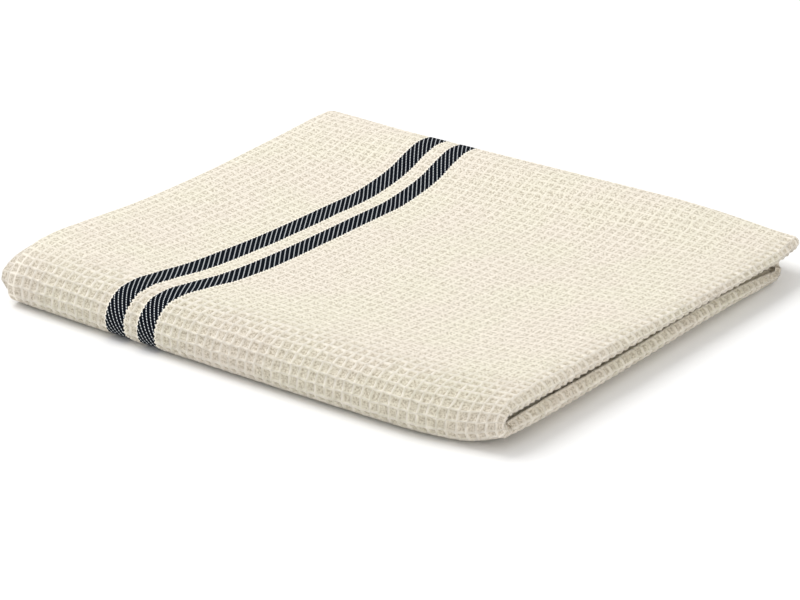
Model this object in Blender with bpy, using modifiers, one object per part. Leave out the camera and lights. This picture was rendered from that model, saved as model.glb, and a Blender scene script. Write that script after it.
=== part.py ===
"""A waffle-weave tea towel, folded in half across and then in three along, lying flat.

The cloth starts as a flat slab of its own thickness, whose points are then moved to where the
folds take them. Blender 4.5, metres, +Z up, centred on the origin and resting on Z = 0.
"""

import bpy
import numpy as np

MM = 0.001

CLOTH_THICKNESS = 1.6 * MM

# The half fold runs along the right side, so every package has an outer and an inner ply.
PLY_GAP = 0.54 * MM
PLY_GAP_LEFT = 1 * MM
PUFF_REACH = 18 * MM

# Between which x the cloth changes from its left profile to its middle one, and on to its right.
LEFT_PROFILE = (-128 * MM, -70 * MM)
RIGHT_PROFILE = (58 * MM, 124 * MM)

# The front roll bows out a little, and the right ends of the rolls are drawn in between these x.
FRONT_BOW = 1.5 * MM
FRONT_REACH = (30 * MM, 85 * MM)
CORNER = (80 * MM, 130 * MM)

# The right edge of the lowest package curls off the table from here.
LIP = (98 * MM, 125 * MM)

HEM_DEPTH = 9 * MM
HEM_STEP = 1 * MM
HEM_EXTRA = 0.5 * MM

# The outer ply's path, walked from the top hem at the back, over the front roll, back along the
# table, round the back roll and forward again inside. A row is one station, in mm: its depth,
# and how much that changes at the right end; its height at the left side, in the middle and at
# the right side; the lift of the right lip; where the outer and the inner ply end at the left;
# and the half fold's place and radius.
COLUMNS = (
    "y", "drawn", "z_left", "z_middle", "z_right", "lip",
    "x_left", "x_left_inner", "x_fold", "fold_radius",
)
STATIONS = {
    "top hem": (105.9, -3.0, 17.0, 13.6, 13.8, 0, -127.0, -126.0, 121.8, 1.4),
    "hem hangs": (104.4, -2.6, 18.6, 17.0, 14.9, 0, -127.3, -126.0, 122.3, 1.4),
    "hem bends": (100.3, -1.6, 19.6, 19.5, 15.4, 0, -127.6, -126.0, 123.4, 1.4),
    "back hump": (93.0, -0.8, 19.7, 20.4, 15.3, 0, -128.0, -126.5, 124.5, 1.4),
    "hump falls": (84.0, 0, 19.2, 18.4, 15.2, 0, -128.3, -127.0, 125.2, 1.35),
    "hump foot": (73.0, 0, 18.4, 14.6, 15.3, 0, -128.6, -127.5, 125.5, 1.25),
    "sag begins": (58.0, 0, 17.6, 12.2, 15.5, 0, -129.0, -128.0, 125.4, 1.2),
    "sag": (20.0, 0, 16.4, 11.5, 15.9, 0, -129.0, -128.0, 125.0, 1.2),
    "sag ends": (-25.0, 0, 17.1, 12.2, 17.5, 0, -128.6, -128.0, 124.8, 2.0),
    "crest foot": (-58.0, 0.5, 19.8, 14.8, 18.0, 0, -127.6, -128.5, 124.2, 2.3),
    "crest rises": (-76.0, 2, 21.2, 17.6, 18.6, 0, -126.6, -129.0, 124.0, 2.45),
    "crest": (-88.0, 4.5, 20.6, 18.7, 18.4, 0, -125.8, -130.0, 123.8, 2.35),
    "roll turns": (-97.4, 6, 17.6, 17.0, 16.6, 0.8, -125.2, -131.0, 123.4, 1.8),
    "roll front upper": (-102.6, 6.5, 12.6, 12.4, 12.4, 2.2, -125.0, -132.0, 123.0, 1.4),
    "roll front": (-104.0, 6.5, 8.0, 8.0, 8.3, 3.6, -125.0, -131.0, 122.8, 1.25),
    "roll front lower": (-102.9, 6, 3.6, 3.6, 3.8, 4.8, -125.2, -127.0, 122.8, 1.6),
    "roll lands": (-98.6, 5, 1.1, 1.1, 1.2, 5.2, -125.5, -124.5, 123.1, 2.0),
    "bottom front": (-90.0, 3.5, 0.8, 0.8, 0.8, 5.0, -126.0, -124.0, 123.9, 2.3),
    "bottom middle": (-20.0, 0, 0.8, 0.8, 0.8, 3.9, -127.0, -125.0, 124.1, 2.4),
    "bottom rises": (50.0, 0, 0.8, 0.8, 0.8, 3.6, -126.8, -125.0, 123.6, 2.3),
    "bottom back": (84.0, -1.7, 0.8, 0.8, 0.8, 1.7, -126.5, -125.0, 121.9, 1.5),
    "back roll lifts": (92.6, -3.8, 1.6, 1.6, 1.3, 1.2, -126.0, -125.0, 121.2, 1.1),
    "back roll lower": (96.6, -5.9, 4.2, 4.2, 2.8, 1.7, -125.8, -125.0, 121.2, 1.09),
    "back roll": (97.8, -6.2, 7.4, 7.2, 5.2, 1.3, -125.5, -125.0, 120.5, 1.09),
    "back roll upper": (96.6, -5.8, 10.7, 10.4, 8.5, 0.1, -125.5, -124.5, 118.6, 1.09),
    "back roll turns": (92.4, -3.4, 13.1, 12.7, 10.4, 0, -125.5, -124.5, 117.0, 1.1),
    "back roll top": (84.0, -2.1, 13.6, 13.0, 10.5, 0, -125.8, -124.5, 115.0, 1.1),
    "inside falls": (73.0, 0, 12.6, 9.7, 11.0, 0, -126.0, -124.5, 113.6, 1.1),
    "inside sags": (58.0, 0, 11.6, 7.7, 11.1, 0, -126.0, -124.5, 113.0, 1.1),
    "inside middle": (20.0, 0, 10.6, 7.15, 11.5, 0, -126.0, -124.5, 113.0, 1.15),
    "inside rises": (-30.0, 0, 10.8, 7.7, 11.45, 0, -125.5, -124.0, 113.0, 1.12),
    "inside front": (-72.0, 2, 12.2, 9.8, 11.6, 0, -125.0, -123.5, 111.8, 1.1),
    "inner hem": (-97.6, 7.5, 11.4, 10.2, 11.1, 0, -124.5, -123.0, 109.0, 1.2),
}
CURVE_SAMPLES = 6000

# The slab's grid: columns across each ply and round the half fold, and rows that lie closer
# together where the path turns.
PLY_SHARES = (0, 0.04, 0.10, 0.17, 0.25, 0.40, 0.60, 0.74, 0.81, 0.87, 0.92, 0.955, 0.98, 1)
FOLD_COLUMNS = 5
FLAT_STEP = 14 * MM
TURN_STEP = 0.28

CLOTH_COLOUR = (0.80, 0.73, 0.61, 1.0)
CLOTH_ROUGHNESS = 0.95


def smoothstep(value, start, end):
    """0 before start, 1 after end, and a smooth rise between them."""
    share = np.clip((value - start) / (end - start), 0, 1)
    return share * share * (3 - 2 * share)


def smooth_curve(knots, values, samples):
    """Values at the samples, on a cubic curve through the knots."""
    slopes = np.gradient(values, knots)
    piece = np.clip(np.searchsorted(knots, samples, side="right") - 1, 0, len(knots) - 2)
    span = knots[piece + 1] - knots[piece]
    t = (samples - knots[piece]) / span
    return (
        values[piece] * (1 + 2 * t) * (1 - t) ** 2
        + values[piece + 1] * t * t * (3 - 2 * t)
        + slopes[piece] * span * t * (1 - t) ** 2
        - slopes[piece + 1] * span * t * t * (1 - t)
    )


def walk_path():
    """The stations' columns as dense curves over the distance walked from the top hem."""
    rows = np.array(list(STATIONS.values())) * MM
    depth, height = rows[:, COLUMNS.index("y")], rows[:, COLUMNS.index("z_middle")]
    knots = np.append(0, np.cumsum(np.hypot(np.diff(depth), np.diff(height))))
    samples = np.linspace(0, knots[-1], CURVE_SAMPLES)
    path = {name: smooth_curve(knots, rows[:, i], samples) for i, name in enumerate(COLUMNS)}
    steps = np.hypot(np.diff(path["y"]), np.diff(path["z_middle"]))
    path["walked"] = np.append(0, np.cumsum(steps))
    return path


PATH = walk_path()
CLOTH_LENGTH = PATH["walked"][-1]


def along(name, v):
    """One column of the path, at distances v from the top hem."""
    return np.interp(v, PATH["walked"], PATH[name])


def outer_ply(x, v):
    """Depth and height of the outer ply's middle surface, which the table holds up."""
    left, middle, right = (along(name, v) for name in ("z_left", "z_middle", "z_right"))
    z = right + (middle - right) * (1 - smoothstep(x, *RIGHT_PROFILE))
    z = left + (z - left) * smoothstep(x, *LEFT_PROFILE)
    z = np.maximum(z, CLOTH_THICKNESS / 2) + along("lip", v) * smoothstep(x, *LIP) ** 2
    y = along("y", v)
    bow = FRONT_BOW * np.cos(np.clip(x / CORNER[1], -1, 1) * np.pi / 2)
    y = y - bow * smoothstep(-y, *FRONT_REACH) + along("drawn", v) * smoothstep(x, *CORNER)
    return y, z


def half_thickness(v):
    """Half the cloth's thickness, which grows at the turned hems."""
    to_hem = np.minimum(v, CLOTH_LENGTH - v)
    extra = HEM_EXTRA * (1 - smoothstep(to_hem, HEM_DEPTH, HEM_DEPTH + HEM_STEP))
    return (CLOTH_THICKNESS + extra) / 2


def fold(side, v, w):
    """Where the folded cloth takes a point of the slab.

    side runs from 0 to 1 across the outer ply, to 2 round the half fold and to 3 across the
    inner ply; v is the distance from the top hem, and w the height over the middle surface.
    """
    x_fold, radius = along("x_fold", v), along("fold_radius", v)
    x_turn = x_fold - radius
    outer, turned, inner = (np.clip(side - start, 0, 1) for start in (0, 1, 2))
    x_left = along("x_left", v)
    x = x_left + (x_turn - x_left) * outer + (along("x_left_inner", v) - x_turn) * inner
    gap = PLY_GAP_LEFT + (PLY_GAP - PLY_GAP_LEFT) * smoothstep(x, *LEFT_PROFILE)
    spacing = gap + 2 * half_thickness(v)
    spacing = spacing + (2 * radius - spacing) * smoothstep(x, x_turn - PUFF_REACH, x_turn)
    offset = -spacing / 2 + (spacing / 2 + w) * np.cos(np.pi * turned)
    x = x + (radius + w) * np.sin(np.pi * turned)
    y, z = outer_ply(x, v)
    nudge = 0.1 * MM
    y_next, z_next = outer_ply(x, v + nudge)
    y_last, z_last = outer_ply(x, v - nudge)
    dy, dz = y_next - y_last, z_next - z_last
    length = np.hypot(dy, dz)
    return np.column_stack([x, y + offset * dz / length, z - offset * dy / length])


def row_places():
    """Distances of the slab's rows from the top hem."""
    heading = np.unwrap(np.arctan2(np.gradient(PATH["z_middle"]), np.gradient(PATH["y"])))
    turned = np.append(0, np.cumsum(np.abs(np.diff(heading))))
    cost = turned / TURN_STEP + PATH["walked"] / FLAT_STEP
    rows = np.interp(np.linspace(0, cost[-1], round(cost[-1])), cost, PATH["walked"])
    steps = np.array([HEM_DEPTH, HEM_DEPTH + HEM_STEP])
    rows = rows[np.minimum(rows, CLOTH_LENGTH - rows) > steps[-1]]
    return np.concatenate([[0, steps[0] / 2], steps, rows, CLOTH_LENGTH - steps[::-1], [CLOTH_LENGTH]])


def column_places():
    """The slab's columns, as sides of the half fold."""
    shares = np.array(PLY_SHARES)
    fold_shares = np.arange(1, FOLD_COLUMNS) / FOLD_COLUMNS
    return np.concatenate([shares, 1 + fold_shares, 3 - shares[::-1]])


def make_slab(name, columns, rows):
    """A flat grid with Solidify, one unit a column and a row, as thick as the cloth."""
    bpy.ops.mesh.primitive_grid_add(
        x_subdivisions=len(columns) - 1, y_subdivisions=len(rows) - 1, size=2
    )
    slab = bpy.context.object
    slab.name = slab.data.name = name
    thicken = slab.modifiers.new("thickness", "SOLIDIFY")
    thicken.thickness = 2
    thicken.offset = 0
    bpy.ops.object.modifier_apply(modifier=thicken.name)
    return slab


def fold_slab(slab, columns, rows):
    """Move the slab's points to the folded cloth."""
    points = np.empty(len(slab.data.vertices) * 3, np.float32)
    slab.data.vertices.foreach_get("co", points)
    points = points.reshape(-1, 3)
    column = np.rint((points[:, 0] + 1) / 2 * (len(columns) - 1)).astype(int)
    row = np.rint((1 - points[:, 1]) / 2 * (len(rows) - 1)).astype(int)
    w = np.sign(points[:, 2]) * half_thickness(rows[row])
    folded = fold(columns[column], rows[row], w)
    lowest, highest = folded.min(axis=0), folded.max(axis=0)
    folded -= [(lowest[0] + highest[0]) / 2, (lowest[1] + highest[1]) / 2, lowest[2]]
    slab.data.vertices.foreach_set("co", folded.astype(np.float32).ravel())
    slab.data.update()
    slab.data.shade_smooth()


def cloth_material():
    material = bpy.data.materials.new("cream waffle cotton")
    material.use_nodes = True
    shader = material.node_tree.nodes["Principled BSDF"]
    shader.inputs["Base Color"].default_value = CLOTH_COLOUR
    shader.inputs["Roughness"].default_value = CLOTH_ROUGHNESS
    return material


def make_towel(collection):
    columns, rows = column_places(), row_places()
    towel = make_slab("towel_cloth", columns, rows)
    fold_slab(towel, columns, rows)
    towel.data.materials.append(cloth_material())
    for old in towel.users_collection:
        old.objects.unlink(towel)
    collection.objects.link(towel)


def main():
    for leftover in list(bpy.data.objects):
        bpy.data.objects.remove(leftover)
    collection = bpy.data.collections.new("tea towel")
    bpy.context.scene.collection.children.link(collection)
    make_towel(collection)


main()
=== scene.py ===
"""A cream waffle-weave tea towel with navy twill stripes, folded flat, on a pale floor.

The cloth is one thin sheet. It is built flat, counted in waffle cells, and every point is then
moved to where the folds take it. Cells that show are real relief; the others are bump.
"""

import math

import bpy
import numpy as np
from mathutils import Matrix, Vector


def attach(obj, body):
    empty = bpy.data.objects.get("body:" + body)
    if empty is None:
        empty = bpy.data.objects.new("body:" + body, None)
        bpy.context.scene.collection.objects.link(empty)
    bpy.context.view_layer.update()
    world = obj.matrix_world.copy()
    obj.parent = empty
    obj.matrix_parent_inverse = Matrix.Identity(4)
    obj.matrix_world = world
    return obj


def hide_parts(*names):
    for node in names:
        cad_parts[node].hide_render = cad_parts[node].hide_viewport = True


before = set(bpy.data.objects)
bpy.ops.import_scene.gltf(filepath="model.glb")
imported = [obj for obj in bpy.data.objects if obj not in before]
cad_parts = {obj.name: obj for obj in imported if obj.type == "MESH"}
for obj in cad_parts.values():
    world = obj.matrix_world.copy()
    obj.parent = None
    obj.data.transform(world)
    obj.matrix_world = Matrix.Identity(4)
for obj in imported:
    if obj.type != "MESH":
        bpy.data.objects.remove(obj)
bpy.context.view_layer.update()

MM = 0.001

# ---- The fold, from the same named sizes as the solid ------------------------------------------

CLOTH_THICKNESS = 1.6 * MM
PLY_GAP = 0.54 * MM
PLY_GAP_LEFT = 1 * MM
PUFF_REACH = 18 * MM
LEFT_PROFILE = (-128 * MM, -70 * MM)
RIGHT_PROFILE = (58 * MM, 124 * MM)
FRONT_BOW = 1.5 * MM
FRONT_REACH = (30 * MM, 85 * MM)
CORNER = (80 * MM, 130 * MM)
LIP = (98 * MM, 125 * MM)
HEM_DEPTH = 9 * MM
HEM_STEP = 1 * MM
HEM_EXTRA = 0.5 * MM

# The centre of the folded cloth's box, which the solid has on the origin.
FOLD_CENTRE = Vector((-2.88637 * MM, 0.30904 * MM, 0))

COLUMNS = (
    "y", "drawn", "z_left", "z_middle", "z_right", "lip",
    "x_left", "x_left_inner", "x_fold", "fold_radius",
)
STATIONS = {
    "top hem": (105.9, -3.0, 17.0, 13.6, 13.8, 0, -127.0, -126.0, 121.8, 1.4),
    "hem hangs": (104.4, -2.6, 18.6, 17.0, 14.9, 0, -127.3, -126.0, 122.3, 1.4),
    "hem bends": (100.3, -1.6, 19.6, 19.5, 15.4, 0, -127.6, -126.0, 123.4, 1.4),
    "back hump": (93.0, -0.8, 19.7, 20.4, 15.3, 0, -128.0, -126.5, 124.5, 1.4),
    "hump falls": (84.0, 0, 19.2, 18.4, 15.2, 0, -128.3, -127.0, 125.2, 1.35),
    "hump foot": (73.0, 0, 18.4, 14.6, 15.3, 0, -128.6, -127.5, 125.5, 1.25),
    "sag begins": (58.0, 0, 17.6, 12.2, 15.5, 0, -129.0, -128.0, 125.4, 1.2),
    "sag": (20.0, 0, 16.4, 11.5, 15.9, 0, -129.0, -128.0, 125.0, 1.2),
    "sag ends": (-25.0, 0, 17.1, 12.2, 17.5, 0, -128.6, -128.0, 124.8, 2.0),
    "crest foot": (-58.0, 0.5, 19.8, 14.8, 18.0, 0, -127.6, -128.5, 124.2, 2.3),
    "crest rises": (-76.0, 2, 21.2, 17.6, 18.6, 0, -126.6, -129.0, 124.0, 2.45),
    "crest": (-88.0, 4.5, 20.6, 18.7, 18.4, 0, -125.8, -130.0, 123.8, 2.35),
    "roll turns": (-97.4, 6, 17.6, 17.0, 16.6, 0.8, -125.2, -131.0, 123.4, 1.8),
    "roll front upper": (-102.6, 6.5, 12.6, 12.4, 12.4, 2.2, -125.0, -132.0, 123.0, 1.4),
    "roll front": (-104.0, 6.5, 8.0, 8.0, 8.3, 3.6, -125.0, -131.0, 122.8, 1.25),
    "roll front lower": (-102.9, 6, 3.6, 3.6, 3.8, 4.8, -125.2, -127.0, 122.8, 1.6),
    "roll lands": (-98.6, 5, 1.1, 1.1, 1.2, 5.2, -125.5, -124.5, 123.1, 2.0),
    "bottom front": (-90.0, 3.5, 0.8, 0.8, 0.8, 5.0, -126.0, -124.0, 123.9, 2.3),
    "bottom middle": (-20.0, 0, 0.8, 0.8, 0.8, 3.9, -127.0, -125.0, 124.1, 2.4),
    "bottom rises": (50.0, 0, 0.8, 0.8, 0.8, 3.6, -126.8, -125.0, 123.6, 2.3),
    "bottom back": (84.0, -1.7, 0.8, 0.8, 0.8, 1.7, -126.5, -125.0, 121.9, 1.5),
    "back roll lifts": (92.6, -3.8, 1.6, 1.6, 1.3, 1.2, -126.0, -125.0, 121.2, 1.1),
    "back roll lower": (96.6, -5.9, 4.2, 4.2, 2.8, 1.7, -125.8, -125.0, 121.2, 1.09),
    "back roll": (97.8, -6.2, 7.4, 7.2, 5.2, 1.3, -125.5, -125.0, 120.5, 1.09),
    "back roll upper": (96.6, -5.8, 10.7, 10.4, 8.5, 0.1, -125.5, -124.5, 118.6, 1.09),
    "back roll turns": (92.4, -3.4, 13.1, 12.7, 10.4, 0, -125.5, -124.5, 117.0, 1.1),
    "back roll top": (84.0, -2.1, 13.6, 13.0, 10.5, 0, -125.8, -124.5, 115.0, 1.1),
    "inside falls": (73.0, 0, 12.6, 9.7, 11.0, 0, -126.0, -124.5, 113.6, 1.1),
    "inside sags": (58.0, 0, 11.6, 7.7, 11.1, 0, -126.0, -124.5, 113.0, 1.1),
    "inside middle": (20.0, 0, 10.6, 7.15, 11.5, 0, -126.0, -124.5, 113.0, 1.15),
    "inside rises": (-30.0, 0, 10.8, 7.7, 11.45, 0, -125.5, -124.0, 113.0, 1.12),
    "inside front": (-72.0, 2, 12.2, 9.8, 11.6, 0, -125.0, -123.5, 111.8, 1.1),
    "inner hem": (-97.6, 7.5, 11.4, 10.2, 11.1, 0, -124.5, -123.0, 109.0, 1.2),
}
CURVE_SAMPLES = 6000
# How far along the cloth its slope is measured.
SLOPE_REACH = 0.1 * MM


def smoothstep(value, start, end):
    """0 before start, 1 after end, and a smooth rise between them."""
    share = np.clip((value - start) / (end - start), 0, 1)
    return share * share * (3 - 2 * share)


def smooth_curve(knots, values, samples):
    """Values at the samples, on a cubic curve through the knots."""
    slopes = np.gradient(values, knots)
    piece = np.clip(np.searchsorted(knots, samples, side="right") - 1, 0, len(knots) - 2)
    span = knots[piece + 1] - knots[piece]
    t = (samples - knots[piece]) / span
    return (
        values[piece] * (1 + 2 * t) * (1 - t) ** 2
        + values[piece + 1] * t * t * (3 - 2 * t)
        + slopes[piece] * span * t * (1 - t) ** 2
        - slopes[piece + 1] * span * t * t * (1 - t)
    )


def walk_path():
    """The stations' columns as dense curves over the distance walked from the top hem."""
    rows = np.array(list(STATIONS.values())) * MM
    depth, height = rows[:, COLUMNS.index("y")], rows[:, COLUMNS.index("z_middle")]
    knots = np.append(0, np.cumsum(np.hypot(np.diff(depth), np.diff(height))))
    samples = np.linspace(0, knots[-1], CURVE_SAMPLES)
    path = {name: smooth_curve(knots, rows[:, i], samples) for i, name in enumerate(COLUMNS)}
    steps = np.hypot(np.diff(path["y"]), np.diff(path["z_middle"]))
    path["walked"] = np.append(0, np.cumsum(steps))
    return path


PATH = walk_path()
CLOTH_LENGTH = PATH["walked"][-1]


def along(name, v):
    """One column of the path, at distances v from the top hem."""
    return np.interp(v, PATH["walked"], PATH[name])


def outer_ply(x, v):
    """Depth and height of the outer ply's middle surface, which the table holds up."""
    left, middle, right = (along(name, v) for name in ("z_left", "z_middle", "z_right"))
    z = right + (middle - right) * (1 - smoothstep(x, *RIGHT_PROFILE))
    z = left + (z - left) * smoothstep(x, *LEFT_PROFILE)
    z = np.maximum(z, CLOTH_THICKNESS / 2) + along("lip", v) * smoothstep(x, *LIP) ** 2
    y = along("y", v)
    bow = FRONT_BOW * np.cos(np.clip(x / CORNER[1], -1, 1) * np.pi / 2)
    y = y - bow * smoothstep(-y, *FRONT_REACH) + along("drawn", v) * smoothstep(x, *CORNER)
    return y, z


def half_thickness(v):
    """Half the cloth's thickness, which grows at the turned hems."""
    to_hem = np.minimum(v, CLOTH_LENGTH - v)
    extra = HEM_EXTRA * (1 - smoothstep(to_hem, HEM_DEPTH, HEM_DEPTH + HEM_STEP))
    return (CLOTH_THICKNESS + extra) / 2


def fold(side, v, w):
    """Where the folded cloth takes a point of the flat one.

    side runs from 0 to 1 across the outer ply, to 2 round the half fold and to 3 across the
    inner ply; v is the distance from the top hem, and w the height over the middle surface.
    """
    x_fold, radius = along("x_fold", v), along("fold_radius", v)
    x_turn = x_fold - radius
    outer, turned, inner = (np.clip(side - start, 0, 1) for start in (0, 1, 2))
    x_left = along("x_left", v)
    x = x_left + (x_turn - x_left) * outer + (along("x_left_inner", v) - x_turn) * inner
    gap = PLY_GAP_LEFT + (PLY_GAP - PLY_GAP_LEFT) * smoothstep(x, *LEFT_PROFILE)
    spacing = gap + 2 * half_thickness(v)
    spacing = spacing + (2 * radius - spacing) * smoothstep(x, x_turn - PUFF_REACH, x_turn)
    offset = -spacing / 2 + (spacing / 2 + w) * np.cos(np.pi * turned)
    x = x + (radius + w) * np.sin(np.pi * turned)
    y, z = outer_ply(x, v)
    y_next, z_next = outer_ply(x, v + SLOPE_REACH)
    y_last, z_last = outer_ply(x, v - SLOPE_REACH)
    dy, dz = y_next - y_last, z_next - z_last
    length = np.hypot(dy, dz)
    return np.column_stack([x, y + offset * dz / length, z - offset * dy / length])


# ---- The weave, counted in waffle cells --------------------------------------------------------

# Across one ply, in cells from its selvedge: the selvedge, the waffle beside it, the band with
# the two stripes, the waffle, and from there on the waffle that the half fold draws in.
SELVEDGE_CELLS = 1
STRIPED = (13, 19)
DRAWN_IN_FROM = 48
PLY_CELLS = 57
# Round the half fold, and over the whole cloth.
LOOP_CELLS = 2
LOOP_END = PLY_CELLS + LOOP_CELLS
WIDTH_CELLS = 2 * PLY_CELLS + LOOP_CELLS
LENGTH_CELLS = 144
HEM_CELLS = 2
# Where the navy of each stripe begins and ends.
STRIPES = ((13, 15.3), (17, 19.15))

PLY_WIDTH = 251.6 * MM
SELVEDGE_WIDTH = 3.5 * MM
DRAWN_IN_WIDTH = 37 * MM

# The stripes wander. At some rows of cells, from the selvedge, in mm: the middle between the two
# stripes, and the width from the first one's outer edge to the second one's.
STRIPE_PLACES = {
    0: (72.8, 25.5),
    9: (73.5, 26.2),
    15: (74.9, 26.4),
    21: (74.6, 26.6),
    27: (74.1, 27.2),
    34: (74.1, 29.2),
    39: (73.9, 29.2),
    43: (73.1, 28.0),
    47: (71.2, 26.9),
    144: (70.9, 27.0),
}

QUARTERS = 4
# Where the quarters of a cell lie in it: close to the ridges, which are narrow.
QUARTER_PLACES = (0, 0.09, 0.5, 0.91)
RIDGE_HEIGHTS = (1, 0.16, 0, 0.16)
RELIEF = 1.1 * MM
RELIEF_LEVEL = 0.82
STRIPE_RISE = 0.05 * MM

# Over how many cells the waffle dies away at a plain part, and how much of it is left in a hem.
WAFFLE_FADE = 0.3
HEM_FADE = 0.4
HEM_RELIEF = 0.45

# The threads don't lie quite straight: how far they wander, in cells, over how many cells, and
# where in its course a wave starts, for each cell of its length.
WANDER = 0.08
WANDER_CELLS = (2.3, 3.7, 5.9)
WANDER_START = 7
# And how uneven they lie, up and down.
UNEVEN = 0.05 * MM
UNEVEN_SEED = 4

# The top is pressed nearly flat. The cells open from these rows on, round the front roll, and
# from this far before the half fold.
PRESSED = 0.25
OPENING_ROWS = (41.5, 47.0)
OPENING_LATER = 2.5
OPENING_CELLS = 2.5

# The rows of cells that show, on the side of the cloth that faces outwards: the top and the
# front roll before the first of these, then the back roll, and past the half fold all the rows
# from the last one on.
TOP_END_ROW = 57
BACK_ROLL_ROWS = (94, 105)
UNDER_FROM_ROW = 56
# The cells past the half fold that show, and the cuts across the inner ply beyond them.
PAST_FOLD_CELLS = 2
INNER_CUTS = (66, 72, 80, 90, 100, 108, 112)

OUTWARD, EDGE, INWARD = 1, 0, -1


def column_lines():
    """The cells at which the cloth is cut across: every cell where it shows, then fewer."""
    shown = range(LOOP_END + PAST_FOLD_CELLS + 1)
    return [*shown, *INNER_CUTS, WIDTH_CELLS - SELVEDGE_CELLS, WIDTH_CELLS]


def fineness(side, column, row):
    """How many steps a cell is cut into each way."""
    if side != OUTWARD or column >= LOOP_END + PAST_FOLD_CELLS:
        return 1
    if column >= LOOP_END:
        return QUARTERS if column == LOOP_END or row >= UNDER_FROM_ROW else 1
    if column >= PLY_CELLS or row < TOP_END_ROW:
        return QUARTERS
    return QUARTERS // 2 if BACK_ROLL_ROWS[0] <= row < BACK_ROLL_ROWS[1] else 1


class Lattice:
    """Points at quarter cells on the two sides and the edge of the cloth, each made once."""

    def __init__(self):
        self.index = {}
        self.faces = []

    def point(self, side, i, j):
        return self.index.setdefault((side, i, j), len(self.index))

    def run(self, side, start, end):
        """The points from start up to end, without the end, that lie on that line."""
        (i, j), (i_end, j_end) = start, end
        di, dj = np.sign(i_end - i), np.sign(j_end - j)
        found = []
        while (i, j) != (i_end, j_end):
            if (side, i, j) in self.index:
                found.append(self.index[side, i, j])
            i, j = i + di, j + dj
        return found

    def loop(self, side, corners):
        """The face round the corners, with every point that its neighbours put on its edges."""
        found = []
        for start, end in zip(corners, corners[1:] + corners[:1]):
            found += self.run(side, start, end)
        self.faces.append(found if side == OUTWARD else found[::-1])


def make_lattice():
    """The flat cloth as points and faces: both sides, and the rounded edge between them."""
    lattice = Lattice()
    columns = column_lines()
    boxes = []
    for side in (OUTWARD, INWARD):
        for left, right in zip(columns, columns[1:]):
            for row in range(LENGTH_CELLS):
                steps = fineness(side, left, row)
                across = (right - left) * QUARTERS // steps
                down = QUARTERS // steps
                for a in range(steps):
                    for b in range(steps):
                        i, j = left * QUARTERS + a * across, row * QUARTERS + b * down
                        boxes.append((side, i, j, i + across, j + down))
    for side, i, j, i_end, j_end in boxes:
        for corner in ((i, j), (i, j_end), (i_end, j_end), (i_end, j)):
            lattice.point(side, *corner)
    for side, i, j, i_end, j_end in boxes:
        lattice.loop(side, [(i, j), (i, j_end), (i_end, j_end), (i_end, j)])
    add_edge(lattice, columns)
    return lattice


def add_edge(lattice, columns):
    """Close the cloth all round, through a row of points half-way up its thickness."""
    right, last = WIDTH_CELLS * QUARTERS, LENGTH_CELLS * QUARTERS
    rows = [row * QUARTERS for row in range(LENGTH_CELLS + 1)]
    columns = [column * QUARTERS for column in columns]
    rim = [(0, j) for j in rows] + [(i, last) for i in columns[1:]]
    rim += [(right, j) for j in rows[-2::-1]] + [(i, 0) for i in columns[-2::-1]]
    for corner in rim:
        lattice.point(EDGE, *corner)
    for start, end in zip(rim, rim[1:]):
        edge = [lattice.index[(EDGE, *start)], lattice.index[(EDGE, *end)]]
        for side in (OUTWARD, INWARD):
            outer = lattice.run(side, start, end) + [lattice.index[(side, *end)]]
            face = outer[::-1] + edge
            lattice.faces.append(face if side == OUTWARD else face[::-1])


def cell_places(quarters):
    """Cells, from whole numbers of quarter cells."""
    return quarters // QUARTERS + np.array(QUARTER_PLACES)[quarters % QUARTERS]


def side_of(cells, rows):
    """Which side of the half fold the cells lie on, as fold() counts it."""
    counted = from_selvedge(cells)
    middle, span = (
        np.interp(rows, list(STRIPE_PLACES), column) * MM
        for column in zip(*STRIPE_PLACES.values())
    )
    ends = np.array([0, SELVEDGE_CELLS, *STRIPED, DRAWN_IN_FROM, PLY_CELLS])
    level = np.zeros(len(cells))
    places = np.array([
        level,
        level + SELVEDGE_WIDTH,
        middle - span / 2,
        middle + span / 2,
        level + PLY_WIDTH - DRAWN_IN_WIDTH,
        level + PLY_WIDTH,
    ])
    part = np.clip(np.searchsorted(ends, counted, side="right") - 1, 0, len(ends) - 2)
    share = (counted - ends[part]) / (ends[part + 1] - ends[part])
    point = np.arange(len(cells))
    place = places[part, point] * (1 - share) + places[part + 1, point] * share
    turned = 1 + (cells - PLY_CELLS) / LOOP_CELLS
    flat = np.where(cells < WIDTH_CELLS / 2, place / PLY_WIDTH, 3 - place / PLY_WIDTH)
    return np.where((cells > PLY_CELLS) & (cells < LOOP_END), turned, flat)


def from_selvedge(cells):
    """Cells counted from the nearer selvedge."""
    return np.minimum(cells, WIDTH_CELLS - cells)


def relief(i, j):
    """Height of the weave over its mean level, with ridges between the cells."""
    ridge_across = np.array(RIDGE_HEIGHTS)[i % QUARTERS]
    ridge_along = np.array(RIDGE_HEIGHTS)[j % QUARTERS]
    height = 1 - (1 - ridge_across) * (1 - ridge_along)
    return (height - RELIEF_LEVEL) * RELIEF


def wander(cells, rows):
    """How far the threads wander at a point of the weave, in cells."""
    waves = [
        np.sin(2 * np.pi * (cells / long + rows / short) + WANDER_START * long)
        for long, short in zip(WANDER_CELLS, WANDER_CELLS[1:] + WANDER_CELLS[:1])
    ]
    return WANDER * sum(waves) / len(waves)


def openness(cells, rows):
    """1 where the cells stand open, and PRESSED where the cloth lies pressed flat."""
    later = OPENING_LATER * (1 - smoothstep(cells, SELVEDGE_CELLS, STRIPED[0]))
    roll = smoothstep(rows - later, *OPENING_ROWS)
    side = smoothstep(cells, PLY_CELLS - OPENING_CELLS, PLY_CELLS)
    return PRESSED + (1 - PRESSED) * np.maximum(roll, side)


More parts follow.
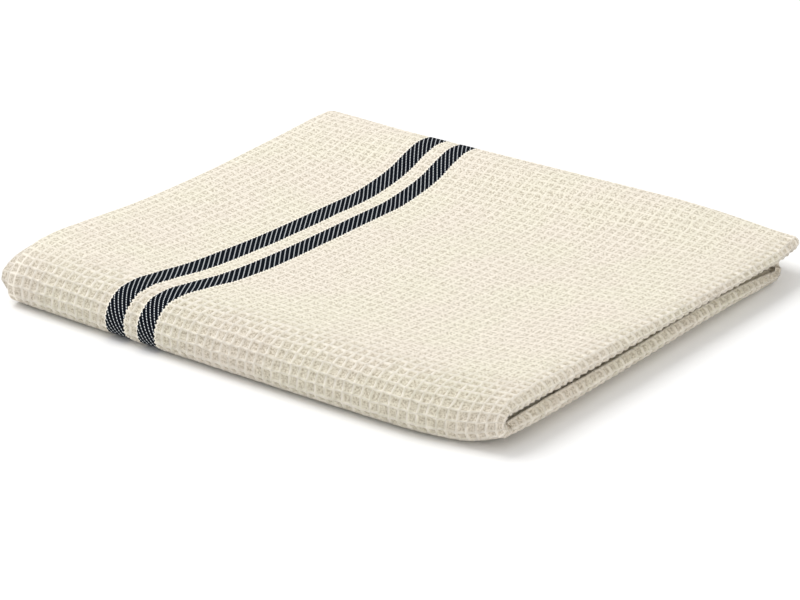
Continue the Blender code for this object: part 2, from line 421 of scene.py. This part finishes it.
def waffle_share(cells, rows):
    """1 where the cloth is woven as waffle, 0 in the stripes, the selvedges and the hems."""
    counted = from_selvedge(cells)
    share = smoothstep(counted, SELVEDGE_CELLS, SELVEDGE_CELLS + WAFFLE_FADE)
    for start, end in STRIPES:
        before = smoothstep(counted, start - WAFFLE_FADE, start)
        after = smoothstep(counted, end, end + WAFFLE_FADE)
        share = share * (1 - before * (1 - after))
    to_hem = np.minimum(rows, LENGTH_CELLS - rows)
    past_hem = smoothstep(to_hem, HEM_CELLS, HEM_CELLS + HEM_FADE)
    return share * (HEM_RELIEF + (1 - HEM_RELIEF) * past_hem)


def make_cloth():
    """The folded cloth as one object, with its cells kept as its UV map."""
    lattice = make_lattice()
    keys = np.array(list(lattice.index), int)
    side, i, j = keys.T
    cells, rows = cell_places(i), cell_places(j)
    waffle = waffle_share(cells, rows)
    opened = openness(cells, rows)
    steps = np.array([fineness(*cell) for cell in zip(side, i // QUARTERS, j // QUARTERS)])
    raised = (side == OUTWARD) & (steps > 1)
    uneven = np.random.default_rng(UNEVEN_SEED).normal(0, UNEVEN, len(cells))
    waffled = (relief(i, j) * opened + uneven) * waffle
    lift = np.where(raised, waffled + STRIPE_RISE * (1 - waffle), 0)
    wandered_cells = cells + wander(cells, rows) * waffle
    wandered_rows = rows + wander(rows, cells) * waffle
    v = np.clip(wandered_rows / LENGTH_CELLS, 0, 1) * CLOTH_LENGTH
    w = side * half_thickness(v) + lift
    points = fold(side_of(wandered_cells, rows), v, w) - np.array(FOLD_CENTRE)
    # The table presses the underside's relief flat.
    points[:, 2] = np.maximum(points[:, 2], 0)
    mesh = bpy.data.meshes.new("folded tea towel")
    mesh.from_pydata(points.tolist(), [], lattice.faces)
    mesh.update()
    corners = np.empty(len(mesh.loops), np.int32)
    mesh.loops.foreach_get("vertex_index", corners)
    counted = np.column_stack([cells, rows])[corners].astype(np.float32)
    mesh.uv_layers.new(name="weave").data.foreach_set("uv", counted.ravel())
    for name, values in (("modelled", raised), ("opened", opened)):
        attribute = mesh.attributes.new(name, "FLOAT", "POINT")
        attribute.data.foreach_set("value", values.astype(np.float32))
    mesh.shade_smooth()
    cloth = bpy.data.objects.new("folded_tea_towel", mesh)
    bpy.context.scene.collection.objects.link(cloth)
    return cloth


# ---- Materials ---------------------------------------------------------------------------------

# The pale line woven beside the stripes, and the painted highlight on the waffle's ridges.
CREAM_PALE_LINE_AND_HIGHLIGHT = (0.95, 0.895, 0.795, 1)
CREAM_PINK = (0.855, 0.79, 0.69, 1)
CREAM_YELLOW = (0.845, 0.805, 0.675, 1)
# The cream in painted shade, which darkens the pits and the pressed cells.
CREAM_IN_PAINTED_SHADE = (0.38, 0.325, 0.24, 1)
NAVY = (0.001, 0.002, 0.004, 1)
NAVY_THREAD = (0.003, 0.006, 0.011, 1)
PALE_THREAD = (0.76, 0.79, 0.81, 1)
COTTON_ROUGHNESS = 0.95
COTTON_SPECULAR = 0.04

# Lengths on the weave are in cells. A pair named EDGE is where a soft change begins and ends.
RIDGE_EDGE = (0.01, 0.065)
PIT_EDGE = (0.035, 0.2)
THREADS_IN_CELL = 8
# The ridges run a little crooked: how many crooks to a cell, in how many layers, and how far.
CROOKS_IN_CELL = 1.3
CROOK_DETAIL = 2.0
CROOK = (0.08, 0.08, 0)

# The patterns in the cotton, and the dashes of painted shade: how many to a cell, how many
# layers of detail, and how rough.
SLUB = (2.6, 2.0, 0.6)
SPECKLE = (5.0, 3.0, 0.75)
BLOTCHES = (0.11, 2.0, 0.5)
SHADE_DASHES = (4.6, 2.0, 0.7)
SLUB_EDGE = (0.40, 0.60)
SPECKLE_EDGE = (0.42, 0.62)
BLOTCH_EDGE = (0.36, 0.64)
SHADE_DASH_EDGE = (0.42, 0.58)
# How much of the ridges' painted highlight shows where the cloth is pressed: at thin places
# and at slubs.
BROKEN_RIDGE = (0.1, 0.9)
# What each adds at most, and what is always there: the dashes of painted shade in the pits,
# those in the pressed cells, and the painted shade of the open pits.
SHADE_DASHES_IN_PITS = (0.80, 0.20)
SHADE_DASHES_IF_PRESSED = (0.56, 0.16)
PIT_PAINTED_SHADE = (0.68, 0.13)

# The stripes' toothed edges, the pale line beside them, and their twill.
TEETH_IN_CELL = 2.6
TOOTH_MIDDLE = 0.25
TOOTH_LENGTH = 0.28
STRIPE_EDGE = (0.0, 0.05)
PALE_LINE_OUTER_EDGE = (-0.16, -0.08)
PALE_LINE_INNER_EDGE = (-0.02, 0.02)
PALE_LINE_SHARE = 0.8
TWILL_LEAN = 0.7
TWILL_PITCH = 0.5
TWILL_EDGE = (0.05, 0.15)
DOT_PITCH = 0.22
DOT_EDGE = (0.12, 0.32)
BETWEEN_DOTS = 0.05
NAVY_SPECKLE_EDGE = (0.4, 0.6)

# Heights in the bump, as shares of its depth.
BUMP_DEPTH = 0.3 * MM
THREAD_HEIGHT = 0.3
SPECKLE_HEIGHT = 0.5
TWILL_HEIGHT = 0.5


class Nodes:
    """A short way to add nodes to a material and join them."""

    def __init__(self, material):
        material.use_nodes = True
        self.tree = material.node_tree
        self.shader = self.tree.nodes["Principled BSDF"]

    def add(self, kind, inputs=None, **settings):
        node = self.tree.nodes.new(kind)
        for name, value in settings.items():
            setattr(node, name, value)
        for socket, value in (inputs or {}).items():
            self.set(node.inputs[socket], value)
        return node

    def set(self, socket, value):
        if isinstance(value, bpy.types.NodeSocket):
            self.tree.links.new(value, socket)
        else:
            socket.default_value = value

    def math(self, operation, *values, clamp=False):
        inputs = dict(enumerate(values))
        return self.add(
            "ShaderNodeMath", inputs, operation=operation, use_clamp=clamp
        ).outputs[0]

    def ramp(self, value, edge, low=0.0, high=1.0):
        """A smooth change from low to high while the value crosses the edge."""
        start, end = edge
        node = self.add(
            "ShaderNodeMapRange",
            {"Value": value, "From Min": start, "From Max": end, "To Min": low, "To Max": high},
            interpolation_type="SMOOTHSTEP",
        )
        return node.outputs["Result"]

    def share(self, value, shares):
        """The value times the first share, over the second, which is always there."""
        return self.math("MULTIPLY_ADD", value, *shares)

    def waves(self, value, per_unit):
        """0 at each line and 0.5 half-way to the next, with so many lines to a unit."""
        return self.math("PINGPONG", self.math("MULTIPLY", value, per_unit), 0.5)

    def mix(self, share, first, second):
        node = self.add("ShaderNodeMix", {"Factor": share, 6: first, 7: second}, data_type="RGBA")
        return node.outputs[2]

    def noise(self, place, pattern):
        scale, detail, roughness = pattern
        node = self.add(
            "ShaderNodeTexNoise",
            {"Vector": place, "Scale": scale, "Detail": detail, "Roughness": roughness},
        )
        return node.outputs["Fac"]

    def attribute(self, name):
        return self.add("ShaderNodeAttribute", attribute_name=name).outputs["Fac"]


def find_ridges(nodes, weave):
    """How far it is to the nearest ridge along the warp, and to the nearest along the weft."""
    crook = nodes.add(
        "ShaderNodeTexNoise",
        {"Vector": weave, "Scale": CROOKS_IN_CELL, "Detail": CROOK_DETAIL},
        normalize=False,
    ).outputs["Color"]
    crooked = nodes.add(
        "ShaderNodeVectorMath", {0: crook, 1: CROOK, 2: weave}, operation="MULTIPLY_ADD"
    ).outputs["Vector"]
    place = nodes.add("ShaderNodeSeparateXYZ", {"Vector": crooked}).outputs
    return nodes.math("PINGPONG", place["X"], 0.5), nodes.math("PINGPONG", place["Y"], 0.5)


def waffle_colour(nodes, weave, to_ridge, ridge, speckle):
    """Pressed cells get dashes of painted shade; open ones, painted highlight on the ridges and
    painted shade in the pits.
    """
    open_share = nodes.ramp(nodes.attribute("opened"), (PRESSED, 1.0))
    pressed_share = nodes.math("SUBTRACT", 1.0, open_share)
    blotches = nodes.ramp(nodes.noise(weave, BLOTCHES), BLOTCH_EDGE)
    cream = nodes.mix(blotches, CREAM_PINK, CREAM_YELLOW)
    # The ridges get a painted highlight, broken by the slubs where the cloth is pressed.
    broken = nodes.ramp(nodes.noise(weave, SLUB), SLUB_EDGE, *BROKEN_RIDGE)
    painted_ridge_highlight = nodes.math("MULTIPLY", ridge, nodes.math("MAXIMUM", broken, open_share))
    cream = nodes.mix(painted_ridge_highlight, cream, CREAM_PALE_LINE_AND_HIGHLIGHT)
    pit = nodes.ramp(to_ridge, PIT_EDGE)
    # Painted shade of the pressed pits, as broken dashes that lie mostly in the pits.
    shade_dashes = nodes.ramp(nodes.noise(weave, SHADE_DASHES), SHADE_DASH_EDGE)
    shade_dashes = nodes.math("MULTIPLY", shade_dashes, nodes.share(pit, SHADE_DASHES_IN_PITS))
    painted_dash_shade = nodes.math("MULTIPLY", shade_dashes, nodes.share(pressed_share, SHADE_DASHES_IF_PRESSED))
    # Painted shade in the open pits, darkest at their middles and mottled by the speckle.
    depth = nodes.share(nodes.ramp(speckle, SPECKLE_EDGE), PIT_PAINTED_SHADE)
    pit_shade = nodes.math("MULTIPLY", pit, nodes.math("MULTIPLY", depth, open_share))
    shade = nodes.math("ADD", pit_shade, painted_dash_shade, clamp=True)
    return nodes.mix(shade, cream, CREAM_IN_PAINTED_SHADE)


def stripe_masks(nodes, across, down):
    """Where the stripes lie, with toothed edges, and the pale line that runs beside them."""
    counted = nodes.math("MINIMUM", across, nodes.math("SUBTRACT", WIDTH_CELLS, across))
    teeth = nodes.math("SUBTRACT", nodes.waves(down, TEETH_IN_CELL), TOOTH_MIDDLE)
    tooth = nodes.math("MULTIPLY", teeth, TOOTH_LENGTH)
    masks = []
    for start, end in STRIPES:
        off = nodes.math("ABSOLUTE", nodes.math("SUBTRACT", counted, (start + end) / 2))
        masks.append(nodes.math("SUBTRACT", (end - start) / 2, nodes.math("ADD", off, tooth)))
    inside = nodes.math("MAXIMUM", *masks)
    near = nodes.ramp(inside, PALE_LINE_OUTER_EDGE)
    within = nodes.ramp(inside, PALE_LINE_INNER_EDGE)
    return nodes.ramp(inside, STRIPE_EDGE), nodes.math("SUBTRACT", near, within, clamp=True)


def navy_twill(nodes, across, down, speckle):
    """The navy with its pale twill lines, which climb to the right, and the lines' height."""
    twill_place = nodes.math("SUBTRACT", across, nodes.math("MULTIPLY", down, TWILL_LEAN))
    twill = nodes.waves(twill_place, 1 / TWILL_PITCH)
    line = nodes.ramp(twill, TWILL_EDGE, 1.0, 0.0)
    dots = nodes.ramp(nodes.waves(down, 1 / DOT_PITCH), DOT_EDGE, BETWEEN_DOTS, 1.0)
    navy = nodes.mix(nodes.ramp(speckle, NAVY_SPECKLE_EDGE), NAVY, NAVY_THREAD)
    return nodes.mix(nodes.math("MULTIPLY", line, dots), navy, PALE_THREAD), twill


def cloth_material():
    material = bpy.data.materials.new("cream waffle cotton with navy twill stripes")
    nodes = Nodes(material)
    weave = nodes.add("ShaderNodeUVMap", uv_map="weave").outputs["UV"]
    place = nodes.add("ShaderNodeSeparateXYZ", {"Vector": weave}).outputs
    across, down = place["X"], place["Y"]
    to_warp_ridge, to_weft_ridge = find_ridges(nodes, weave)
    to_ridge = nodes.math("MINIMUM", to_warp_ridge, to_weft_ridge)
    ridge = nodes.ramp(to_ridge, RIDGE_EDGE, 1.0, 0.0)
    speckle = nodes.noise(weave, SPECKLE)

    cream = waffle_colour(nodes, weave, to_ridge, ridge, speckle)
    stripe, pale_line = stripe_masks(nodes, across, down)
    navy, twill = navy_twill(nodes, across, down, speckle)
    colour = nodes.mix(nodes.math("MULTIPLY", pale_line, PALE_LINE_SHARE), cream, CREAM_PALE_LINE_AND_HIGHLIGHT)
    colour = nodes.mix(stripe, colour, navy)

    # Bump: the threads, across the cell on weft floats and along it on warp floats, and the
    # cells themselves where the mesh doesn't have them.
    on_warp = nodes.math("LESS_THAN", to_warp_ridge, to_weft_ridge)
    warp_threads = nodes.waves(across, THREADS_IN_CELL)
    weft_threads = nodes.waves(down, THREADS_IN_CELL)
    threads = nodes.add(
        "ShaderNodeMix", {"Factor": on_warp, 2: weft_threads, 3: warp_threads}, data_type="FLOAT"
    ).outputs[0]
    missing = nodes.math("SUBTRACT", 1.0, nodes.attribute("modelled"))
    plain = nodes.math("SUBTRACT", 1.0, stripe)
    cells_height = nodes.math("MULTIPLY", nodes.math("MULTIPLY", ridge, missing), plain)
    thread_height = nodes.math("MULTIPLY", threads, THREAD_HEIGHT)
    speckle_height = nodes.math("MULTIPLY", speckle, SPECKLE_HEIGHT)
    twill_height = nodes.math("MULTIPLY", nodes.math("MULTIPLY", twill, stripe), TWILL_HEIGHT)
    fine_height = nodes.math("ADD", thread_height, speckle_height)
    height = nodes.math("ADD", nodes.math("ADD", cells_height, fine_height), twill_height)
    bump = nodes.add("ShaderNodeBump", {"Height": height, "Strength": 1.0, "Distance": BUMP_DEPTH})

    nodes.set(nodes.shader.inputs["Base Color"], colour)
    nodes.set(nodes.shader.inputs["Normal"], bump.outputs["Normal"])
    nodes.shader.inputs["Roughness"].default_value = COTTON_ROUGHNESS
    nodes.shader.inputs["Specular IOR Level"].default_value = COTTON_SPECULAR
    return material


# ---- Stage, light and camera -------------------------------------------------------------------

FLOOR_SIZE = 12
# How far the floor lies under the towel, so that the two don't meet in one plane.
FLOOR_CLEARANCE = 0.1 * MM
FLOOR_GREY = (0.93, 0.93, 0.93, 1)
STUDIO_BRIGHTNESS = 0.76
# Each light's name, place, size, power and colour.
LIGHTS = (
    ("soft key light", (-1.0, -0.1, 1.9), 1.4, 25.5, (1, 1, 1)),
    ("low fill light", (1.6, -0.5, 0.6), 1.2, 4.2, (1.0, 0.94, 0.84)),
)


def floor_material():
    material = bpy.data.materials.new("pale floor")
    material.use_nodes = True
    shader = material.node_tree.nodes["Principled BSDF"]
    shader.inputs["Base Color"].default_value = FLOOR_GREY
    shader.inputs["Roughness"].default_value = 1
    shader.inputs["Specular IOR Level"].default_value = 0
    return material


def make_floor():
    bpy.ops.mesh.primitive_plane_add(size=FLOOR_SIZE, location=(0, 0, -FLOOR_CLEARANCE))
    floor = bpy.context.object
    floor.name = "pale_floor"
    floor.data.materials.append(floor_material())


def make_light(name, place, size, power, colour):
    """A square light that looks at the towel."""
    light = bpy.data.lights.new(name, "AREA")
    light.shape, light.size, light.energy, light.color = "SQUARE", size, power, colour
    lamp = bpy.data.objects.new(name, light)
    lamp.location = place
    lamp.rotation_mode = "QUATERNION"
    lamp.rotation_quaternion = (-Vector(place)).to_track_quat("-Z", "Y")
    bpy.context.scene.collection.objects.link(lamp)


def make_studio():
    world = bpy.data.worlds.new("studio")
    bpy.context.scene.world = world
    world.use_nodes = True
    background = world.node_tree.nodes["Background"]
    background.inputs["Color"].default_value = (1, 1, 1, 1)
    background.inputs["Strength"].default_value = STUDIO_BRIGHTNESS
    for light in LIGHTS:
        make_light(*light)
    bpy.context.scene.view_settings.view_transform = "Standard"


CAMERA_TURN, CAMERA_TILT, CAMERA_ROLL = 0.698950, 0.410416, -0.0425286
CAMERA_DISTANCE = 1.227355
CAMERA_LENS, CAMERA_SENSOR = 135, 36
CAMERA_SHIFT = (-0.00978, -0.0135)
CAMERA_CLIP = (0.05, 50)


def make_camera():
    data = bpy.data.cameras.new("camera")
    data.lens, data.sensor_width, data.sensor_fit = CAMERA_LENS, CAMERA_SENSOR, "HORIZONTAL"
    data.shift_x, data.shift_y = CAMERA_SHIFT
    data.clip_start, data.clip_end = CAMERA_CLIP
    level = Vector((math.cos(CAMERA_TURN), math.sin(CAMERA_TURN), 0))
    forward = Vector(
        (
            -math.sin(CAMERA_TURN) * math.cos(CAMERA_TILT),
            math.cos(CAMERA_TURN) * math.cos(CAMERA_TILT),
            -math.sin(CAMERA_TILT),
        )
    )
    upright = level.cross(forward)
    right = level * math.cos(CAMERA_ROLL) + upright * math.sin(CAMERA_ROLL)
    up = upright * math.cos(CAMERA_ROLL) - level * math.sin(CAMERA_ROLL)
    camera = bpy.data.objects.new("camera", data)
    turn = Matrix((right, up, -forward)).transposed().to_4x4()
    camera.matrix_world = Matrix.Translation(-FOLD_CENTRE - forward * CAMERA_DISTANCE) @ turn
    bpy.context.scene.collection.objects.link(camera)
    bpy.context.scene.camera = camera


cloth = make_cloth()
cloth.data.materials.append(cloth_material())
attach(cloth, "root")
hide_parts("towel_cloth")

make_floor()
make_studio()
make_camera()
